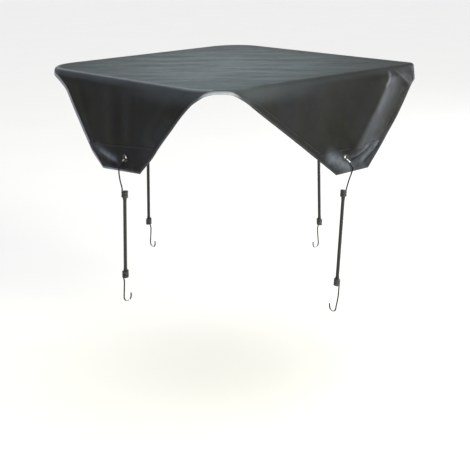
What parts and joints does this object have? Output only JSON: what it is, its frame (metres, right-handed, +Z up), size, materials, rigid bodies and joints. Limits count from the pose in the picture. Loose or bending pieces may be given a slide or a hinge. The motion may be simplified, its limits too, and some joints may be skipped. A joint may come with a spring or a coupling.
{
  "type": "air conditioner cover",
  "caption": "Square top cover for an outdoor air conditioning unit, in dark woven polyester, with hanging tips held down by hooked elastic cords.",
  "frame": {"origin": "middle of the plane that the cover lies on, under its top", "axes": "+Z up, away from the unit; X and Y along the sides of the square top; the corner nearest to the camera in the picture is at -X, -Y"},
  "size_m": [0.8062, 0.8092, 0.6644],
  "materials": {
    "cover_cloth": "fine plain-woven polyester, charcoal grey, coated, with a soft sheen",
    "patch_cloth": "the same woven polyester as a second layer",
    "eyelet_metal": "black enamelled metal, half gloss",
    "hook_wire": "black coated steel wire, half gloss",
    "cord_sheath": "black braided sheath over elastic"
  },
  "bodies": {
    "root": {"cover_cloth": "cover_cloth", "patch_left": "patch_cloth", "eyelet_left": "eyelet_metal", "upper_hook_left": "hook_wire", "bungee_left": "cord_sheath", "lower_hook_left": "hook_wire", "patch_right": "patch_cloth", "eyelet_right": "eyelet_metal", "upper_hook_right": "hook_wire", "bungee_right": "cord_sheath", "lower_hook_right": "hook_wire", "patch_far_right": "patch_cloth", "eyelet_far_right": "eyelet_metal", "upper_hook_far_right": "hook_wire", "bungee_far_right": "cord_sheath", "lower_hook_far_right": "hook_wire", "patch_far_left": "patch_cloth", "eyelet_far_left": "eyelet_metal", "upper_hook_far_left": "hook_wire", "bungee_far_left": "cord_sheath", "lower_hook_far_left": "hook_wire"}
  },
  "joints": []
}
